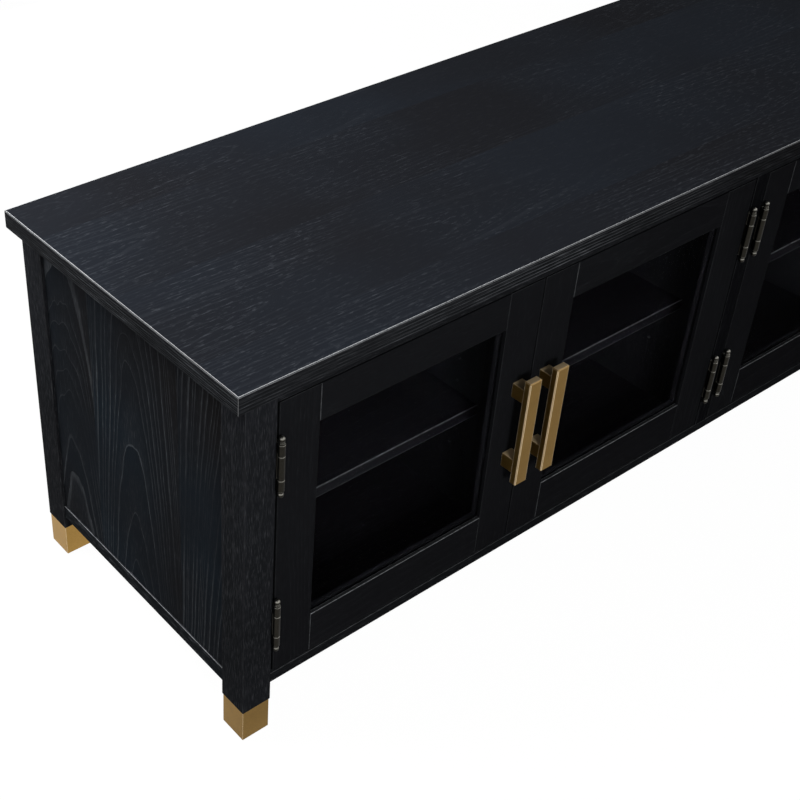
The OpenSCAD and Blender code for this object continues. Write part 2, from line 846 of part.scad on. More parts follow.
// Brass pull: a flat bar on two square posts, drilled and tapped from behind
module door_pull(i) {
    color(BRASS) at_door(i) difference() {
        translate([door_w - pull_edge, 0, pull_z]) {
            translate([0, -post_l - pull_t, 0])
                eased_bar(pull_w, pull_t, pull_l, pull_chamfer);
            for (side = [-1, 1])
                translate([-post_w / 2, -post_l - pull_t / 2, side * pull_pitch / 2 - post_h / 2])
                    cube([post_w, post_l + pull_t / 2, post_h]);
        }
        pull_screws(shank_fit);
    }
}

// Two screws from the stile's back face into the pull's posts
module pull_screws(fit) {
    head_h = pull_screw_d / 2;
    for (side = [-1, 1])
        translate([door_w - pull_edge, door_t, pull_z + side * pull_pitch / 2]) rotate([90, 0, 0]) {
            cylinder(h = door_t + pull_screw_grip + fit, d = pull_screw_d + 2 * fit);
            cylinder(h = head_h, d = 2 * pull_screw_d + 2 * fit);
        }
}

// Screw of the strike, in line with the catch
module strike_screw(fit) {
    at_strike() rotate([90, 0, 0])
        screw(hinge_screw_d + 2 * fit, hinge_head_d + 2 * fit, strike_t - 0.1, hinge_screw_l + 2 * fit);
}

// Middle of the strike's outer face, on the door's back
module at_strike() {
    translate([door_w + (meet_gap - partition_t - catch_w) / 2, door_t + strike_t, door_h - catch_drop])
        children();
}

module strike() {
    difference() {
        at_strike() rotate([90, 0, 0]) cylinder(h = strike_t, d = strike_d);
        strike_screw(shank_fit);
    }
}

// Magnetic catches on the faces of the two side partitions
module catches() {
    wall = (meet_gap - partition_t) / 2;
    y = door_t + strike_t + catch_gap;
    color(PLASTIC) for (i = [1 : 4])
        at_door(i) translate([door_w + wall - catch_w, y, door_h - catch_drop - catch_l / 2])
            cube([catch_w, catch_d, catch_l]);
}

// ---------------------------------------------------------------- hinges

// Part of a hinge on one side of the pin: -1 is the frame's leaf, 1 is the door's
module hinge_leaf(side) {
    x = [side * leaf_gap / 2, side * (leaf_gap / 2 + leaf_t)];
    spans = side < 0
        ? [[0, end_knuckle_l], [barrel_l - end_knuckle_l, barrel_l]]
        : [[end_knuckle_l + knuckle_gap, barrel_l - end_knuckle_l - knuckle_gap]];
    difference() {
        union() {
            block([min(x), barrel_r + leaf_relief, 0], [max(x), leaf_y, barrel_l]);
            for (span = spans) {
                block([min(x), 0, span[0]], [max(x), leaf_y, span[1]]);
                translate([0, 0, span[0]])
                    cylinder(h = span[1] - span[0], r = barrel_r);
            }
        }
        translate([0, 0, -cut])
            cylinder(h = barrel_l + 2 * cut, d = hinge_pin_d + 2 * pin_fit);
        leaf_screws(side, shank_fit);
    }
}

// Three screws through a leaf into the wood
module leaf_screws(side, fit) {
    for (z = hinge_screw_z)
        translate([side * leaf_gap / 2, hinge_screw_y, z]) rotate([0, side * 90, 0])
            screw(hinge_screw_d + 2 * fit, hinge_head_d + 2 * fit, hinge_head_h, hinge_screw_l + fit);
}

// Bed for a leaf in the leg or mullion, with its screw holes
module hinge_beds(i) {
    at_hinges(i) {
        block([-hinge_gap / 2 - leaf_bed, -barrel_d, -joint_fit],
            [0, leaf_y + joint_fit, barrel_l + joint_fit]);
        leaf_screws(-1, shank_fit);
    }
}

// Bed for a leaf in the door's edge, with its screw holes
module door_hinge_beds(i) {
    at_hinges(i) {
        block([0, -barrel_d, -joint_fit],
            [hinge_gap / 2 + leaf_bed, leaf_y + joint_fit, barrel_l + joint_fit]);
        leaf_screws(1, shank_fit);
    }
}

module hinge_leaves() {
    color(PEWTER) for (i = [1 : 4])
        at_hinges(i) hinge_leaf(-1);
}

module door_hinge_leaves(i) {
    color(PEWTER) at_hinges(i) hinge_leaf(1);
}

// Pins with a ball tip at the top, and the ball tips screwed on below
module hinge_pins() {
    color(PEWTER) for (i = [1 : 4])
        at_hinges(i) {
            translate([0, 0, -socket_l]) cylinder(h = socket_l + barrel_l + collar_l, d = hinge_pin_d);
            translate([0, 0, barrel_l]) {
                ball_tip(collar_l);
                translate([0, 0, (collar_l - collar_ring_h) / 2])
                    cylinder(h = collar_ring_h, d = ball_d);
            }
            difference() {
                mirror([0, 0, 1]) ball_tip(lower_collar_l);
                translate([0, 0, -socket_l - pin_fit])
                    cylinder(h = socket_l + tip_room, d = hinge_pin_d + 2 * pin_fit);
            }
        }
}

// Collar of length l and ball above the end of a barrel
module ball_tip(l) {
    cylinder(h = l, d = collar_d);
    translate([0, 0, l + ball_d / 2 - ball_sink]) sphere(d = ball_d);
}

module hinge_screws() {
    color(STEEL) for (i = [1 : 4])
        at_hinges(i) leaf_screws(-1, 0);
}

// Screws of the hinges, pull and strike, and the strike itself
module door_fixings(i) {
    color(STEEL) {
        at_hinges(i) leaf_screws(1, 0);
        at_door(i) {
            pull_screws(0);
            strike();
            strike_screw(0);
        }
    }
}

centred() top_panel();
centred() leg(-1, 0);  // leg_front_left
centred() leg(1, 0);  // leg_front_right
centred() leg(-1, 1);  // leg_back_left
centred() leg(1, 1);  // leg_back_right
centred() leg_caps();
centred() glides();
centred() side_panel(-1);  // side_panel_left
centred() side_panel(1);  // side_panel_right
centred() side_bottom_rails();
centred() side_top_rails();
centred() front_top_rail();
centred() front_bottom_rail();
centred() back_top_rail();
centred() back_bottom_rail();
centred() mullion();
centred() partition_left();
centred() partition_middle();
centred() partition_right();
centred() bottom_panel();
centred() shelf(1);  // shelf_1
centred() shelf(2);  // shelf_2
centred() shelf(3);  // shelf_3
centred() shelf(4);  // shelf_4
centred() shelf_pins();
centred() back_panels();
centred() top_screws();
centred() back_screws();
centred() catches();
centred() hinge_leaves();
centred() hinge_pins();
centred() hinge_screws();
centred() door_stiles(1);  // door_1_stiles
centred() door_rails(1);  // door_1_rails
centred() door_glass(1);  // door_1_glass
centred() door_beads(1);  // door_1_beads
centred() door_pull(1);  // door_1_pull
centred() door_hinge_leaves(1);  // door_1_hinge_leaves
centred() door_fixings(1);  // door_1_fixings
centred() door_stiles(2);  // door_2_stiles
centred() door_rails(2);  // door_2_rails
centred() door_glass(2);  // door_2_glass
centred() door_beads(2);  // door_2_beads
centred() door_pull(2);  // door_2_pull
centred() door_hinge_leaves(2);  // door_2_hinge_leaves
centred() door_fixings(2);  // door_2_fixings
centred() door_stiles(3);  // door_3_stiles
centred() door_rails(3);  // door_3_rails
centred() door_glass(3);  // door_3_glass
centred() door_beads(3);  // door_3_beads
centred() door_pull(3);  // door_3_pull
centred() door_hinge_leaves(3);  // door_3_hinge_leaves
centred() door_fixings(3);  // door_3_fixings
centred() door_stiles(4);  // door_4_stiles
centred() door_rails(4);  // door_4_rails
centred() door_glass(4);  // door_4_glass
centred() door_beads(4);  // door_4_beads
centred() door_pull(4);  // door_4_pull
centred() door_hinge_leaves(4);  // door_4_hinge_leaves
centred() door_fixings(4);  // door_4_fixings
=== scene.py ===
import math

import bmesh
import bpy
from mathutils import Matrix, Vector


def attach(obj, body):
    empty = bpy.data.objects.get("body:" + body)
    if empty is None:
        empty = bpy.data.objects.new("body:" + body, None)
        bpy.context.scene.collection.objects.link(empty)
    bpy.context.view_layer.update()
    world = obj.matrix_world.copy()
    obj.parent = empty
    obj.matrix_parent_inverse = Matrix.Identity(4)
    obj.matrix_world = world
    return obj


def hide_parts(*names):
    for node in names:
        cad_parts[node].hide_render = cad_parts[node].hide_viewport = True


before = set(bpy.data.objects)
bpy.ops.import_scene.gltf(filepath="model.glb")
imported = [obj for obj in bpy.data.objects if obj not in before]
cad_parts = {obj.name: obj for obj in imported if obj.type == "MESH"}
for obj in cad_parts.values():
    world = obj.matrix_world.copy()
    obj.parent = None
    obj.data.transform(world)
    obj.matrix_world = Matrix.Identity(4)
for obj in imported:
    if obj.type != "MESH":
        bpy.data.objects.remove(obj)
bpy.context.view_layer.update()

scene = bpy.context.scene
scene.view_settings.view_transform = "Standard"

# ---- Camera --------------------------------------------------------------------------------------
# Where a person's eye would be off the cabinet's front left corner, looking down across the top.
# Its lens is shifted sideways, because the near corner stands left of the middle of the view.

eye = Vector((-1.4116, -0.9942, 1.2680))
turn, dip, roll = (math.radians(a) for a in (-35.9, 53.8, -0.6))
lens = bpy.data.cameras.new("camera")
lens.sensor_width = 36
lens.lens = 61.7
lens.shift_x = 0.2394
lens.shift_y = -0.0391
lens.clip_start = 0.01
camera = bpy.data.objects.new("camera", lens)
scene.collection.objects.link(camera)
camera.matrix_world = (
    Matrix.Translation(eye)
    @ Matrix.Rotation(turn, 4, "Z")
    @ Matrix.Rotation(dip, 4, "X")
    @ Matrix.Rotation(roll, 4, "Z")
)
scene.camera = camera

# ---- Room: floor, white surround and lamps -------------------------------------------------------
# A pale seamless floor runs out of sight into a white surround, under a grey ceiling. A soft box
# hangs over the left end of the cabinet, so the light fades towards the right. Small ones shine
# in through the doors' glass, and light the top's back edge, the right side and the back.

ROOM_FILL = 0.125        # how strongly the room lights matt surfaces
CEILING = 0.1            # brightness of the ceiling, where the surround is 1
CEILING_RISE = (0.68, 0.85)    # the ceiling fades in as the line of sight rises, 1 is straight up


def linear(code):
    """sRGB hex value as the linear colour that a shader takes"""
    parts = [int(code[i:i + 2], 16) / 255 for i in (0, 2, 4)]
    return (*[c / 12.92 if c <= 0.04045 else ((c + 0.055) / 1.055) ** 2.4 for c in parts], 1)


def add(tree, kind, inputs=None, **settings):
    """Adds one node: its own fields, then its inputs, each a value or the output that it takes."""
    new = tree.nodes.new("ShaderNode" + kind)
    for field, value in settings.items():
        setattr(new, field, value)
    for socket, value in (inputs or {}).items():
        if isinstance(value, bpy.types.NodeSocket):
            tree.links.new(value, new.inputs[socket])
        else:
            new.inputs[socket].default_value = value
    return new.outputs


def seen_plainly(tree):
    """1 for a ray that comes from the eye, or by way of metal or glass, and 0 for matt light"""
    ray = add(tree, "LightPath")
    seen = add(tree, "Math", {0: ray["Is Camera Ray"], 1: ray["Is Glossy Ray"]},
               operation="MAXIMUM")
    return add(tree, "Math", {0: seen[0], 1: ray["Is Transmission Ray"]},
               operation="MAXIMUM")[0]


room = bpy.data.worlds.new("white_room")
room.use_nodes = True
tree = room.node_tree
tree.nodes.clear()
soft = add(tree, "Background", {"Color": linear("FFFFFF"), "Strength": ROOM_FILL})
height = add(tree, "SeparateXYZ", {0: add(tree, "TexCoord")["Generated"]})["Z"]
# A MapRange takes the value as input 0, the value's range as 1 and 2, and the new one as 3 and 4
wall = add(tree, "MapRange", {0: height, 1: CEILING_RISE[0], 2: CEILING_RISE[1], 3: 1, 4: CEILING},
           interpolation_type="SMOOTHSTEP")
white = add(tree, "Background", {"Color": linear("FFFFFF"), "Strength": wall[0]})
both = add(tree, "MixShader", {0: seen_plainly(tree), 1: soft[0], 2: white[0]})
add(tree, "OutputWorld", {"Surface": both[0]})
scene.world = room

# Painted plywood sweep, matt white. Metal mirrors it greyer in front, where it falls into shade.
FLOOR_GLOW = 0.94        # share of the floor's look that is plain white
FLOOR_WHITE = 1.04       # its strength to the eye, just over white, so that it is even
FLOOR_SHADE = 0.4        # brightness of the mirrored floor in front, where behind it is 1
SHADE_TO, LIGHT_FROM = -0.25, 0.3    # how far back the shade ends, and the full light starts
FLOOR_REACH = 12         # metres from the middle to each side
painted = bpy.data.materials.new("matt_white_paint")
painted.use_nodes = True
tree = painted.node_tree
tree.nodes.clear()
matt = add(tree, "BsdfDiffuse", {"Color": linear("DADAD9"), "Roughness": 0.5})
depth = add(tree, "SeparateXYZ", {0: add(tree, "TexCoord")["Object"]})["Y"]
shade = add(tree, "MapRange", {0: depth, 1: SHADE_TO, 2: LIGHT_FROM, 3: FLOOR_SHADE, 4: 1})
plain_white = add(tree, "Math", {0: add(tree, "LightPath")["Is Camera Ray"], 1: FLOOR_WHITE},
                  operation="MULTIPLY")
bright = add(tree, "Math", {0: plain_white[0], 1: shade[0]}, operation="MAXIMUM")
glow = add(tree, "Emission", {"Color": linear("FFFFFF"), "Strength": bright[0]})
share = add(tree, "Math", {0: seen_plainly(tree), 1: FLOOR_GLOW}, operation="MULTIPLY")
mixed = add(tree, "MixShader", {0: share[0], 1: matt[0], 2: glow[0]})
add(tree, "OutputMaterial", {"Surface": mixed[0]})

bm = bmesh.new()
bmesh.ops.create_grid(bm, x_segments=1, y_segments=1, size=FLOOR_REACH)
sweep = bpy.data.meshes.new("floor")
bm.to_mesh(sweep)
bm.free()
sweep.materials.append(painted)
floor = bpy.data.objects.new("floor", sweep)
scene.collection.objects.link(floor)

for name, place, aim, side, power in [
    ("key_box", (-1.45, 0.75, 1.65), (-0.6, 0, 0.4), 1.0, 27.5),
    ("back_box", (-1.05, 0.5, 0.8), (-0.75, 0.15, 0.5), 0.25, 1.4),
    ("right_box", (2.0, 0.4, 0.3), (0.8, 0, 0.28), 0.4, 7),
    ("rear_box", (0, 1.9, 0.3), (0, 0.2, 0.28), 0.4, 12),
    ("front_box", (-1.1, -1.65, 0.95), (-0.4, 0, 0.3), 0.4, 17),
]:
    lamp = bpy.data.lights.new(name, "AREA")
    lamp.shape = "SQUARE"
    lamp.size = side
    lamp.energy = power
    box = bpy.data.objects.new(name, lamp)
    box.matrix_world = (
        Matrix.Translation(place)
        @ (Vector(aim) - Vector(place)).to_track_quat("-Z", "Y").to_matrix().to_4x4()
    )
    box.visible_glossy = name == "key_box"    # metal mirrors no other lamp
    box.visible_camera = False
    scene.collection.objects.link(box)

# ---- Top -----------------------------------------------------------------------------------------
# One board of oak, stained blue-black and rubbed back by hand, so that its arrises are worn pale,
# and painted pale as highlight where they face up. The finish is a thin satin lacquer. It is
# screwed down from inside the cabinet.

PALE = "A4A7AB"          # bare wood that shows through on the rubbed arrises, and painted highlight where they face up
LOW, HIGH = 0.35, 0.65   # most values of a noise lie between these
FRESH = 7.31             # step along the patterns from board to board, so that none is alike
WAVES = (11, 11, 3.5)    # waves of the grain per metre, across the boards, through and along them
YEARS = 0.3              # how fast good and bad years follow each other, per ring
FLATTEST = 0.12          # slope of a ring below which its line grows no wider
LINE = (0.12, 0.42)      # a ring's fine line fades between these shares of its width
EARLY_WOOD = 0.62        # share of a ring that bears pores
LINE_BASE, BAND_BASE = 0.45, 0.2    # how pale a line and a band of pores are between the pores
PORE = 0.62              # level of the noise at which a pore starts
PORE_DEPTH = 0.0002      # metres
DULLER = 0.2             # how much rougher the pale filler is than the lacquer
RUBBING = 5              # patches of harder rubbing per metre
CLOUDS = 2.6             # clouds of bluish bloom per metre
FLECKS = 160             # flecks of stain left on an arris, per metre


def rubbed_oak(name, axes, face, stain, bloom, filler, board, ring, cone, lines, pores, roughness,
               length=0.016, width=0.0016, seed=0.0, rub_and_highlight=0.8, waviness=0.006, uneven=3.5,
               crisp=0.11, fading=0.2, bared=0.35, porous=0.75, clumps=0.0, pale=PALE):
    """Open-grained oak, stained and rubbed back: dark, with pale dashes in its pores, pale lines on
    its rings and bare arrises. Axes are across the boards, through them and along the grain, and
    face is how far out the wood's face lies. The ground goes from stain to bloom, and the rings'
    lines and the pores are tinted with filler. Boards and rings have their widths in metres, pores
    their length and width. Rings are cones about each board's own heart, so they show as arches.
    Lines, pores, fading, porous and clumps say how strongly and how evenly rings and pores show,
    crisp how soft their edges are, and rub and bared how pale the arrises are: worn finish, and
    where they face up also painted highlight."""
    material = bpy.data.materials.new(name)
    material.use_nodes = True
    tree = material.node_tree
    tree.nodes.clear()
    place = add(tree, "SeparateXYZ", {0: add(tree, "TexCoord")["Object"]})
    across, through, along = (place[i] for i in axes)

    # Each board has its own number, and from it its own heart: somewhere in its middle half, and
    # 20 to 90 mm below its face
    strip = add(tree, "Math", {0: across, 1: board}, operation="DIVIDE")
    strip = add(tree, "Math", {0: strip[0], 1: seed}, operation="ADD")
    number = add(tree, "Math", {0: strip[0]}, operation="FLOOR")
    luck = add(tree, "TexWhiteNoise", {"W": number[0]}, noise_dimensions="1D")
    chance = add(tree, "SeparateColor", {0: luck["Color"]})
    inside = add(tree, "Math", {0: strip[0], 1: number[0]}, operation="SUBTRACT")
    heart = add(tree, "MapRange", {0: chance[0], 3: 0.25, 4: 0.75})
    off = add(tree, "Math", {0: inside[0], 1: heart[0]}, operation="SUBTRACT")
    off = add(tree, "Math", {0: off[0], 1: board}, operation="MULTIPLY")
    start = add(tree, "MapRange", {0: chance[1], 3: 0.02, 4: 0.09})
    up = add(tree, "Math", {0: along, 1: cone, 2: start[0]}, operation="MULTIPLY_ADD")
    below = add(tree, "Math", {0: through}, operation="ABSOLUTE")
    below = add(tree, "Math", {0: below[0], 1: face}, operation="SUBTRACT")
    deep = add(tree, "Math", {0: up[0], 1: below[0]}, operation="ADD")

    # The tree's own waviness, slow along the grain
    shift = add(tree, "Math", {0: number[0], 1: FRESH}, operation="MULTIPLY")
    spot = add(tree, "CombineXYZ", {0: across, 1: through, 2: along})
    step = add(tree, "CombineXYZ", {0: shift[0], 1: seed})
    moved = add(tree, "VectorMath", {0: spot[0], 1: step[0]})
    slow = add(tree, "VectorMath", {0: moved[0], 1: WAVES}, operation="MULTIPLY")
    wave = add(tree, "TexNoise", {"Vector": slow[0], "Scale": 1, "Detail": 3, "Roughness": 0.5})
    bent = add(tree, "MapRange", {0: wave[0], 1: 0.25, 2: 0.75, 3: -waviness, 4: waviness})
    deep = add(tree, "Math", {0: deep[0], 1: bent[0]}, operation="ADD")
    radius = add(tree, "VectorMath", {0: add(tree, "CombineXYZ", {0: off[0], 1: deep[0]})[0]},
                 operation="LENGTH")["Value"]
    rings = add(tree, "Math", {0: radius, 1: ring}, operation="DIVIDE")
    years = add(tree, "Math", {0: rings[0], 1: YEARS, 2: shift[0]}, operation="MULTIPLY_ADD")
    growth = add(tree, "TexNoise", {"W": years[0], "Scale": 1, "Detail": 1}, noise_dimensions="1D")
    rings = add(tree, "Math", {0: growth[0], 1: uneven, 2: rings[0]}, operation="MULTIPLY_ADD")
    phase = add(tree, "Math", {0: rings[0]}, operation="FRACT")

    # A ring's early wood: a fine line of even width, and behind it a fading band of pores, which
    # is wide where the saw cut the ring flat
    slant = add(tree, "Math", {0: deep[0], 1: cone}, operation="MULTIPLY")
    slope = add(tree, "VectorMath", {0: add(tree, "CombineXYZ", {0: off[0], 1: slant[0]})[0]},
                operation="LENGTH")["Value"]
    slope = add(tree, "Math", {0: slope, 1: radius}, operation="DIVIDE")
    slope = add(tree, "Math", {0: slope[0], 1: FLATTEST}, operation="MAXIMUM")
    even = add(tree, "Math", {0: phase[0], 1: slope[0]}, operation="DIVIDE")
    thin = add(tree, "MapRange", {0: even[0], 1: LINE[0], 2: LINE[1], 3: 1, 4: 0},
               interpolation_type="SMOOTHSTEP")
    band = add(tree, "MapRange", {0: phase[0], 1: 0, 2: EARLY_WOOD, 3: porous, 4: 0})

    # Pores are short dashes along the grain, drawn two or three times as wide as real ones, which
    # are 0.3 mm, so that they show
    fine = add(tree, "VectorMath", {0: moved[0], 1: (1 / width, 1 / width, 1 / length)},
               operation="MULTIPLY")
    dash = add(tree, "TexNoise", {"Vector": fine[0], "Scale": 1, "Detail": 2, "Roughness": 0.6})
    dashes = add(tree, "MapRange", {0: dash[0], 1: PORE - crisp, 2: PORE + crisp},
                 interpolation_type="SMOOTHSTEP")

    # Rings and clumps of pores fade in and out, as the rubbing was lighter or harder
    patch = add(tree, "TexNoise", {"Vector": moved[0], "Scale": RUBBING, "Detail": 2})
    hard = add(tree, "MapRange", {0: patch[0], 1: LOW, 2: HIGH, 3: fading, 4: 1})
    line = add(tree, "Math", {0: dashes[0], 1: 1 - LINE_BASE, 2: LINE_BASE},
               operation="MULTIPLY_ADD")
    line = add(tree, "Math", {0: line[0], 1: thin[0]}, operation="MULTIPLY")
    early = add(tree, "Math", {0: dashes[0], 1: 1 - BAND_BASE, 2: BAND_BASE},
                operation="MULTIPLY_ADD")
    early = add(tree, "Math", {0: early[0], 1: band[0]}, operation="MULTIPLY")
    line = add(tree, "Math", {0: line[0], 1: early[0]}, operation="MAXIMUM")
    line = add(tree, "Math", {0: line[0], 1: hard[0]}, operation="MULTIPLY")
    light = add(tree, "Math", {0: line[0], 1: lines}, operation="MULTIPLY")
    clump = add(tree, "MapRange", {0: patch[0], 1: 0.42, 2: 0.6, 3: 1 - clumps, 4: 1})
    clump = add(tree, "Math", {0: clump[0], 1: pores}, operation="MULTIPLY")
    light = add(tree, "Math", {0: dashes[0], 1: clump[0], 2: light[0]}, operation="MULTIPLY_ADD",
                use_clamp=True)

    # The ground, clouded with bloom, under the filler
    tint = add(tree, "TexNoise", {"Vector": moved[0], "Scale": CLOUDS, "Detail": 3})
    tinted = add(tree, "MapRange", {0: tint[0], 1: LOW, 2: HIGH})
    ground = add(tree, "Mix", {0: tinted[0], 6: linear(stain), 7: linear(bloom)}, data_type="RGBA")
    colour = add(tree, "Mix", {0: light[0], 6: ground[2], 7: linear(filler)}, data_type="RGBA")

    # Rubbed arrises: pale from worn finish, and where they face up also painted highlight, with the
    # stain left in flecks
    arris = add(tree, "Attribute", attribute_name="rub_and_highlight")["Fac"]
    left = add(tree, "TexNoise",
               {"Vector": spot[0], "Scale": FLECKS, "Detail": 3, "Roughness": 0.7})
    bare = add(tree, "MapRange", {0: left[0], 1: 0.3, 2: 0.62, 3: bared, 4: 1})
    bare = add(tree, "Math", {0: bare[0], 1: arris}, operation="MULTIPLY")
    bare = add(tree, "Math", {0: bare[0], 1: rub_and_highlight}, operation="MULTIPLY", use_clamp=True)
    colour = add(tree, "Mix", {0: bare[0], 6: colour[2], 7: linear(pale)}, data_type="RGBA")

    rough = add(tree, "MapRange", {0: light[0], 3: roughness, 4: roughness + DULLER})
    dent = add(tree, "Bump", {"Height": dashes[0], "Distance": PORE_DEPTH, "Strength": 0.25},
               invert=True)
    skin = add(tree, "BsdfPrincipled", {
        "Base Color": colour[2], "Roughness": rough[0], "Normal": dent[0],
        "Specular IOR Level": 0.001,
    })
    add(tree, "OutputMaterial", {"Surface": skin[0]})
    return material


FLAT = 0.992             # the normal of a flat top rises by more than this
FACES_UP = 0.8           # that of an arris that faces up
LEANS = 0.3              # that of an arris or slope that leans, and a lower one's is upright
LEANING_WEAR_AND_LIGHT = 0.3          # how pale a leaning arris is painted, where one that faces up is 1: worn finish and painted highlight


def eased(node, body, slot, width, wear_and_highlight=(0.6, 0.1, 0.05), painted_light_on_tops=0.0, painted_light_on_slopes=0.1, shortest=0.03,
          angle=50, shaded_above=math.inf, worn_back_to=math.inf):
    """Copy of a CAD node with its long arrises planed round. Attribute rub says how pale each face
    is
    painted: on the planed strips that face up, sideways and down it stands for worn finish and, the
    more they face up, for painted highlight; on the flat tops and the upward sloping faces it is
    painted light. Above one height, in the shade under the top, faces are left dark as painted
    shade, and behind one depth they are left dark too."""
    bm = bmesh.new()
    bm.from_mesh(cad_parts[node].data)
    rub_and_highlight = bm.faces.layers.float.new("rub_and_highlight")
    bmesh.ops.remove_doubles(bm, verts=bm.verts, dist=1e-5)
    bmesh.ops.dissolve_limit(bm, angle_limit=math.radians(1), verts=bm.verts, edges=bm.edges)
    arrises = [
        e for e in bm.edges
        if e.calc_face_angle_signed() > math.radians(angle) and e.calc_length() > shortest
    ]
    planed = set(bmesh.ops.bevel(
        bm, geom=arrises, offset=width, offset_type="OFFSET", affect="EDGES", segments=2,
        profile=0.5, clamp_overlap=False, material=-1,
    )["faces"])
    up, sideways, down = wear_and_highlight
    for face in bm.faces:
        face.smooth = True
        tilt = face.normal.z
        middle = face.calc_center_median()
        if middle.z > shaded_above or middle.y > worn_back_to:
            # left dark above the height where the top shades them, and behind one depth: painted
            # shade above
            face[rub_and_highlight] = 0
        elif tilt > FLAT:
            # flat tops: painted light falling on them
            face[rub_and_highlight] = painted_light_on_tops
        elif face in planed:
            if tilt > FACES_UP:
                face[rub_and_highlight] = up
            elif tilt > LEANS:
                face[rub_and_highlight] = LEANING_WEAR_AND_LIGHT * up
            else:
                face[rub_and_highlight] = sideways if tilt > -LEANS else down
        else:
            # upward sloping faces: painted light, paler the more they face up
            face[rub_and_highlight] = painted_light_on_slopes * tilt if tilt > LEANS else 0
    mesh = bpy.data.meshes.new(node + "_eased")
    bm.to_mesh(mesh)
    bm.free()
    piece = bpy.data.objects.new(node + "_eased", mesh)
    scene.collection.objects.link(piece)
    mesh.set_sharp_from_angle(angle=math.radians(50))
    smooth = piece.modifiers.new("flat_faces", "WEIGHTED_NORMAL")
    smooth.keep_sharp = True
    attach(piece, body)
    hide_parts(node)
    return piece


# The top face is stained lighter and bluer than the other oak: partly a painted sheen of the light
# from above, since the lacquer is given almost no gloss.
oak_top = rubbed_oak(
    "rubbed_oak_top", axes=(1, 2, 0), face=0.49,
    stain="232428", bloom="262A31", filler="5A5E65",
    board=0.145, ring=0.006, cone=0.05, lines=0.2, pores=0.2, roughness=0.4,
    length=0.013, width=0.0026, crisp=0.06, bared=0.75, fading=0.0, porous=0.3, clumps=0.75,
    pale="E0E2E4",
)
# The edges show the rings as fine lines, nearly straight
EDGE = {
    "face": 0.49, "stain": "101011", "bloom": "18191B", "filler": "74777C",
    "board": 0.2, "ring": 0.0029, "cone": 0.004, "lines": 0.75, "pores": 0.12, "roughness": 0.5,
    "length": 0.03, "width": 0.0012, "waviness": 0.0012, "uneven": 1.2, "crisp": 0.14,
    "bared": 0.75, "pale": "E0E2E4",
}
oak_long_edge = rubbed_oak("rubbed_oak_long_edge", axes=(1, 2, 0), seed=0.5775, **EDGE)
oak_short_edge = rubbed_oak("rubbed_oak_short_edge", axes=(0, 2, 1), seed=0.5475, **EDGE)
top = eased("top_panel", "cabinet", "black_oak", width=0.0003, wear_and_highlight=(1, 0.3, 0), shortest=0.015,
            angle=30)
for finish in (oak_top, oak_long_edge, oak_short_edge):
    top.data.materials.append(finish)
for face in top.data.polygons:
    x, y, z = (abs(n) for n in face.normal)
    if z > 0.6:          # above and below, and the upper chamfer
        face.material_index = 0
    else:
        face.material_index = 1 if y > x else 2

# ---- Legs ----------------------------------------------------------------------------------------
# Four square oak legs, stained and rubbed as the top, that run from it down into the brass caps.
# They are grooved for the side panels and mortised for the rails.

oak_upright = rubbed_oak(
    "rubbed_oak_upright", axes=(0, 1, 2), face=0.15,
    stain="161719", bloom="1C1D20", filler="56575B",
    board=0.25, ring=0.0045, cone=0.03, lines=0.12, pores=0.36, roughness=0.5,
    length=0.015, width=0.0008, seed=0.2, rub_and_highlight=0.7,
)
for node in ("leg_front_left", "leg_front_right", "leg_back_left", "leg_back_right"):
    leg = eased(node, "cabinet", "black_oak", width=0.0008, wear_and_highlight=(0.6, 0.03, 0.05))
    leg.data.materials.append(oak_upright)

# ---- Caps and glides -----------------------------------------------------------------------------
# Square sleeves of sheet brass, brushed and lacquered, pushed over the legs' ends, and a black
# nylon glide under each.


def satin_brass():
    """Cast or folded brass under a satin lacquer: dark gold and speckled, with soft highlights, and
    painted pale cream as a highlight on the arrises and upper faces, where it is also less metallic
    so that the lamps light it"""
    material = bpy.data.materials.new("satin_brass")
    material.use_nodes = True
    tree = material.node_tree
    tree.nodes.clear()
    spot = add(tree, "TexCoord")["Object"]
    # Specks of 1 to 2 mm, coarser than the real grit so that they show, and clouds of 20 mm
    speck = add(tree, "TexNoise", {"Vector": spot, "Scale": 700, "Detail": 3, "Roughness": 0.7})
    cloud = add(tree, "TexNoise", {"Vector": spot, "Scale": 45, "Detail": 2})
    fine = 0.75          # share of the mottling that is specks, where the rest is clouds
    mixed = add(tree, "Math", {0: speck[0], 1: fine}, operation="MULTIPLY")
    mixed = add(tree, "Math", {0: cloud[0], 1: 1 - fine, 2: mixed[0]}, operation="MULTIPLY_ADD")
    tone = add(tree, "MapRange", {0: mixed[0], 1: LOW, 2: HIGH})
    colour = add(tree, "Mix", {0: tone[0], 6: linear("A4803F"), 7: linear("B8924E")},
                 data_type="RGBA")
    # Pale cream on the arrises and upper faces is a painted highlight.
    painted_highlight = add(tree, "Attribute", attribute_name="rub_and_highlight")["Fac"]
    colour = add(tree, "Mix", {0: painted_highlight, 6: colour[2], 7: linear("E6CDA4")}, data_type="RGBA")
    rough = add(tree, "MapRange", {0: speck[0], 1: 0.3, 2: 0.7, 3: 0.38, 4: 0.55})
    dent = add(tree, "Bump", {"Height": speck[0], "Distance": 0.0001, "Strength": 0.15})
    shine = add(tree, "MapRange", {0: painted_highlight, 3: 1, 4: 0.4})
    skin = add(tree, "BsdfPrincipled", {
        "Base Color": colour[2], "Metallic": shine[0], "Roughness": rough[0], "Normal": dent[0],
        "Coat Weight": 0.08, "Coat Roughness": 0.25,
    })
    add(tree, "OutputMaterial", {"Surface": skin[0]})
    return material


brass = satin_brass()
# The caps' arrises carry the brass's painted highlight, most where they face up.
caps = eased("leg_caps", "cabinet", "satin_brass", width=0.0006, wear_and_highlight=(0.8, 0.5, 0.1),
             shortest=0.02)
caps.data.materials.append(brass)


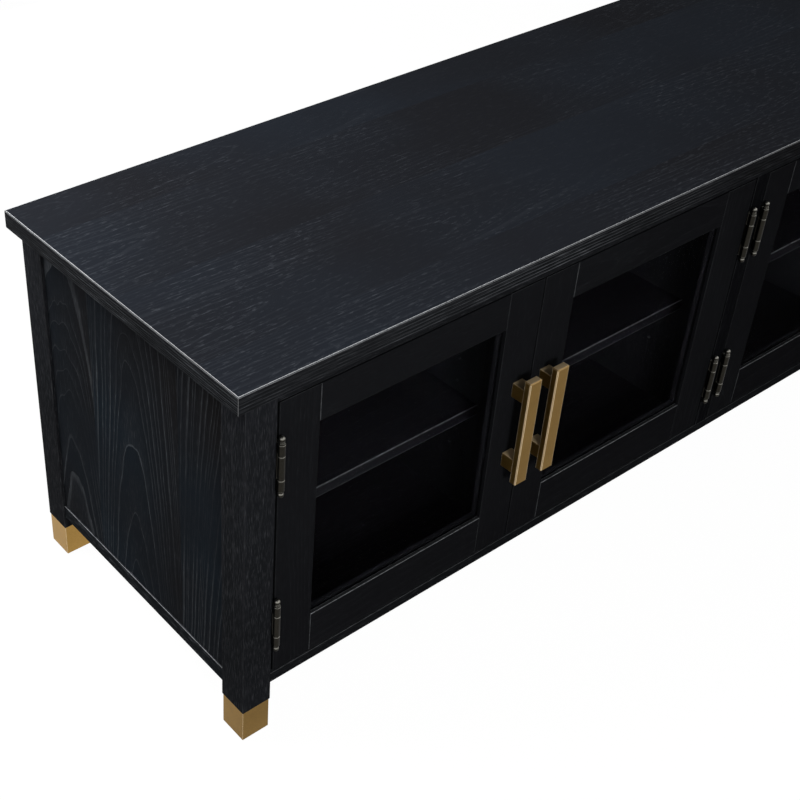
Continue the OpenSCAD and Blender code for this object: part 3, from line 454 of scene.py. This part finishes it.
def plain(name, colour, roughness, metallic=0.0):
    """A finish with a fine even texture, dull in nylon and glinting in plated or blackened steel"""
    material = bpy.data.materials.new(name)
    material.use_nodes = True
    tree = material.node_tree
    tree.nodes.clear()
    spot = add(tree, "TexCoord")["Object"]
    # Grain of 1 mm, coarser than the real one so that it shows
    speck = add(tree, "TexNoise", {"Vector": spot, "Scale": 900, "Detail": 2})
    darker, spread = 0.76, 0.08          # tone between the specks, and how the roughness varies
    dark = (*[c * darker for c in linear(colour)[:3]], 1)
    tone = add(tree, "Mix", {0: speck[0], 6: dark, 7: linear(colour)}, data_type="RGBA")
    rough = add(tree, "MapRange", {0: speck[0], 3: roughness - spread, 4: roughness + spread})
    dent = add(tree, "Bump", {"Height": speck[0], "Distance": 0.00005, "Strength": 0.3})
    skin = add(tree, "BsdfPrincipled", {
        "Base Color": tone[2], "Metallic": metallic, "Roughness": rough[0], "Normal": dent[0],
    })
    add(tree, "OutputMaterial", {"Surface": skin[0]})
    return material


def finish_node(node, material):
    """A CAD node that is shown as it is takes its finish on its own slots"""
    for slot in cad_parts[node].material_slots:
        slot.material = material


nylon = plain("moulded_black_nylon", "1C1C1D", 0.5)
finish_node("glides", nylon)

# ---- Side frames and panels ----------------------------------------------------------------------
# Two oak rails, tenoned into each pair of legs, hold a thin panel in their grooves. It lies a
# little behind the legs' faces, and its flat-sawn boards show tall arches of grain.

oak_side_panel = rubbed_oak(
    "rubbed_oak_side_panel", axes=(1, 0, 2), face=0.76,
    stain="181718", bloom="181E24", filler="5E6165",
    board=0.17, ring=0.0045, cone=0.065, lines=0.6, pores=0.04, roughness=0.5,
    length=0.014, width=0.0012, seed=0.45, waviness=0.0035, fading=0.1, porous=0.3,
)
oak_side_rail = rubbed_oak(
    "rubbed_oak_side_rail", axes=(2, 0, 1), face=0.76,
    stain="131517", bloom="1A1D20", filler="5A5C62",
    board=0.2, ring=0.005, cone=0.02, lines=0.2, pores=0.35, roughness=0.5, seed=0.8,
)
for node in ("side_panel_left", "side_panel_right"):
    panel = eased(node, "cabinet", "black_oak", width=0.0005)
    panel.data.materials.append(oak_side_panel)
# The rails' flat tops carry a faint painted light.
for node in ("side_bottom_rails", "side_top_rails"):
    rail = eased(node, "cabinet", "black_oak", width=0.0007, wear_and_highlight=(1, 0.1, 0.05), painted_light_on_tops=0.05)
    rail.data.materials.append(oak_side_rail)

# ---- Front frame ---------------------------------------------------------------------------------
# Rails above and below the doors, tenoned into the front legs, and between them the mullion that
# both inner doors hang on, tenoned into the rails. All are solid oak, rubbed less than the top.

oak_rail = rubbed_oak(
    "rubbed_oak_rail", axes=(2, 1, 0), face=0.17,
    stain="131416", bloom="18191B", filler="494B4F",
    board=0.2, ring=0.005, cone=0.02, lines=0.2, pores=0.25, roughness=0.5, seed=0.1,
    rub_and_highlight=0.7,
)
# The rails' flat tops carry a faint painted light.
for node in ("front_top_rail", "front_bottom_rail"):
    rail = eased(node, "cabinet", "black_oak", width=0.0007, wear_and_highlight=(1, 0.1, 0.05), painted_light_on_tops=0.05)
    rail.data.materials.append(oak_rail)
# The mullion is stained darker than the rails and stiles round it: painted shade, as the light
# fades towards the middle of the front.
oak_mullion = rubbed_oak(
    "rubbed_oak_mullion", axes=(0, 1, 2), face=0.17,
    stain="0A0A0C", bloom="0E0F11", filler="36383C",
    board=0.21, ring=0.006, cone=0.02, lines=0.25, pores=0.12, roughness=0.5, seed=0.33,
    rub_and_highlight=0.4,
)
mullion = eased("mullion", "cabinet", "black_oak", width=0.0006)
mullion.data.materials.append(oak_mullion)

# ---- Inside --------------------------------------------------------------------------------------
# Bottom, partitions, shelves and back in black-stained veneered board, matt and plainer than the
# outside. The partitions stand in grooves, the shelves lie on steel pins, and the back is screwed
# to its rails.

# The inside boards are stained darker than the outside, partly as painted shade inside the closed
# cabinet.
inside_flat = rubbed_oak(
    "stained_veneer_flat", axes=(1, 2, 0), face=0.08,
    stain="0F0E11", bloom="131315", filler="2E2F33",
    board=0.18, ring=0.007, cone=0.03, lines=0.2, pores=0.12, roughness=0.55, seed=0.7,
)
inside_upright = rubbed_oak(
    "stained_veneer_upright", axes=(1, 0, 2), face=0.0,
    stain="121214", bloom="161719", filler="2E2F33",
    board=0.15, ring=0.007, cone=0.05, lines=0.25, pores=0.12, roughness=0.55, seed=0.9,
    rub_and_highlight=0.5,
)
FRONT_EDGES = -0.12      # only the arrises in front of this are rubbed
for node in ("bottom_panel", "shelf_1", "shelf_2", "shelf_3", "shelf_4"):
    board = eased(node, "cabinet", "black_wood_inside", width=0.0012, wear_and_highlight=(0.4, 0.1, 0.3),
                  worn_back_to=FRONT_EDGES)
    board.data.materials.append(inside_flat)
for node in ("partition_left", "partition_middle", "partition_right"):
    partition = eased(node, "cabinet", "black_wood_inside", width=0.0006)
    partition.data.materials.append(inside_upright)
inside_back = rubbed_oak(
    "stained_veneer_back", axes=(0, 1, 2), face=0.2,
    stain="101012", bloom="141518", filler="2E2F33",
    board=0.15, ring=0.007, cone=0.05, lines=0.25, pores=0.12, roughness=0.55, seed=0.5,
    rub_and_highlight=0.3,
)
inside_back_rail = rubbed_oak(
    "stained_back_rail", axes=(2, 1, 0), face=0.2,
    stain="121214", bloom="17181A", filler="36373B",
    board=0.2, ring=0.006, cone=0.02, lines=0.25, pores=0.2, roughness=0.55, seed=0.15,
    rub_and_highlight=0.3,
)
for node in ("back_top_rail", "back_bottom_rail"):
    rail = eased(node, "cabinet", "black_wood_inside", width=0.0007)
    rail.data.materials.append(inside_back_rail)
finish_node("back_panels", inside_back)

zinc = plain("zinc_plated_steel", "9A9C9E", 0.32, metallic=1.0)
for node in ("top_screws", "back_screws"):
    finish_node(node, zinc)
finish_node("shelf_pins", plain("blackened_steel", "2A2B2D", 0.4, metallic=1.0))
finish_node("catches", nylon)

# ---- Hinges --------------------------------------------------------------------------------------
# Ball-tipped butt hinges in steel with a dark pewter patina, worn bright on the rims, and painted
# pale on the balls' upper faces as a highlight.
# Each leaf lies in a bed cut in the wood, held by three screws, and two leaves share one pin.


def worn_pewter():
    """Steel with a dark olive patina, rubbed bright on its rims, and painted pale as a highlight on
    the ball tips' upper faces
    """
    material = bpy.data.materials.new("worn_dark_pewter")
    material.use_nodes = True
    tree = material.node_tree
    tree.nodes.clear()
    spot = add(tree, "TexCoord")["Object"]
    # The patina lies in specks of 2 mm
    speck = add(tree, "TexNoise", {"Vector": spot, "Scale": 500, "Detail": 3})
    dark = add(tree, "Mix", {0: speck[0], 6: linear("2C2A25"), 7: linear("4A4740")},
               data_type="RGBA")
    # Pale rims are worn metal; pale upward faces of the balls are a painted highlight.
    rims_and_highlight = add(tree, "Attribute", attribute_name="rub_and_highlight")["Fac"]
    tone = add(tree, "Mix", {0: rims_and_highlight, 6: dark[2], 7: linear("D4D2C8")}, data_type="RGBA")
    rough = add(tree, "MapRange", {0: speck[0], 3: 0.28, 4: 0.44})
    dent = add(tree, "Bump", {"Height": speck[0], "Distance": 0.00005, "Strength": 0.3})
    skin = add(tree, "BsdfPrincipled", {
        "Base Color": tone[2], "Metallic": 1.0, "Roughness": rough[0], "Normal": dent[0],
    })
    add(tree, "OutputMaterial", {"Surface": skin[0]})
    return material


pewter = worn_pewter()
# All the small arrises are rounded; the rims are worn pale, and the balls' upward faces are painted
# pale as highlight
HINGE = {"wear_and_highlight": (0.8, 0.05, 0.6), "painted_light_on_slopes": 0.7, "shortest": 0.0003, "angle": 40}
for node, width in (("hinge_leaves", 0.0006), ("hinge_pins", 0.0003)):
    part = eased(node, "cabinet", "aged_pewter", width=width, **HINGE)
    part.data.materials.append(pewter)
finish_node("hinge_screws", pewter)

# ---- Doors ---------------------------------------------------------------------------------------
# Each door is two oak stiles and two rails, tenoned together, round a pane of clear glass, which
# thin beads hold from behind. A brass pull is screwed to the free stile from the back.


def clear_glass():
    """Float glass with a thin bloomed coating, so that it mirrors the room only faintly"""
    material = bpy.data.materials.new("clear_glass")
    material.use_nodes = True
    tree = material.node_tree
    tree.nodes.clear()
    spot = add(tree, "TexCoord")["Object"]
    # A film too thin to see dulls it in clouds of 30 mm
    film = add(tree, "TexNoise", {"Vector": spot, "Scale": 30, "Detail": 3})
    rough = add(tree, "MapRange", {0: film[0], 3: 0.0, 4: 0.03})
    skin = add(tree, "BsdfPrincipled", {
        "Base Color": linear("F6F6F8"), "Roughness": rough[0], "IOR": 1.012,
        "Transmission Weight": 1.0,
    })
    straight = add(tree, "BsdfTransparent", {"Color": linear("F6F6F8")})
    shadow = add(tree, "LightPath")["Is Shadow Ray"]
    both = add(tree, "MixShader", {0: shadow, 1: skin[0], 2: straight[0]})
    add(tree, "OutputMaterial", {"Surface": both[0]})
    return material


glass = clear_glass()
oak_stile = rubbed_oak(
    "rubbed_oak_stile", axes=(0, 1, 2), face=0.17,
    stain="131315", bloom="17181A", filler="383A3D",
    board=0.21, ring=0.006, cone=0.02, lines=0.2, pores=0.07, roughness=0.5, seed=0.33,
    rub_and_highlight=0.6,
)
oak_door_rail = rubbed_oak(
    "rubbed_oak_door_rail", axes=(2, 1, 0), face=0.17,
    stain="131315", bloom="17181A", filler="383A3D",
    board=0.21, ring=0.006, cone=0.02, lines=0.2, pores=0.07, roughness=0.5, seed=0.55,
    rub_and_highlight=0.7,
)
SEALANT = 0.0003         # film of sealant between the glass and the wood round it
UNDER_TOP = 0.46         # the arrises above this height lie right under the top, in its shade, and are left dark as painted shade
for number in range(1, 5):
    door = f"door_{number}"
    stiles = eased(door + "_stiles", door, "black_oak", width=0.0007, wear_and_highlight=(0.1, 0.04, 0.05))
    stiles.data.materials.append(oak_stile)
    # The rails' flat tops are painted a little pale, as light falling on them; right under the top
    # they are left dark as painted shade.
    rails = eased(door + "_rails", door, "black_oak", width=0.0007, wear_and_highlight=(1, 0.25, 0.1),
                  painted_light_on_tops=0.1, shaded_above=UNDER_TOP)
    rails.data.materials.append(oak_door_rail)
    finish_node(door + "_beads", oak_door_rail)
    bm = bmesh.new()
    bm.from_mesh(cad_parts[door + "_glass"].data)
    bmesh.ops.remove_doubles(bm, verts=bm.verts, dist=1e-5)
    bm.normal_update()
    inwards = [corner.normal * corner.calc_shell_factor() * SEALANT for corner in bm.verts]
    for corner, way in zip(bm.verts, inwards):
        corner.co -= way
    sheet = bpy.data.meshes.new(door + "_pane")
    bm.to_mesh(sheet)
    bm.free()
    sheet.materials.append(glass)
    pane = bpy.data.objects.new(door + "_pane", sheet)
    scene.collection.objects.link(pane)
    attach(pane, door)
    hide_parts(door + "_glass")
    # The pull's top faces and upward sloping faces are painted pale cream, a painted highlight.
    pull = eased(door + "_pull", door, "satin_brass", width=0.0008, wear_and_highlight=(1, 1, 0.1), painted_light_on_tops=0.8,
                 painted_light_on_slopes=0.8, shortest=0.005, angle=30)
    pull.data.materials.append(brass)
    leaves = eased(door + "_hinge_leaves", door, "aged_pewter", width=0.0006, **HINGE)
    leaves.data.materials.append(pewter)
    finish_node(door + "_fixings", zinc)
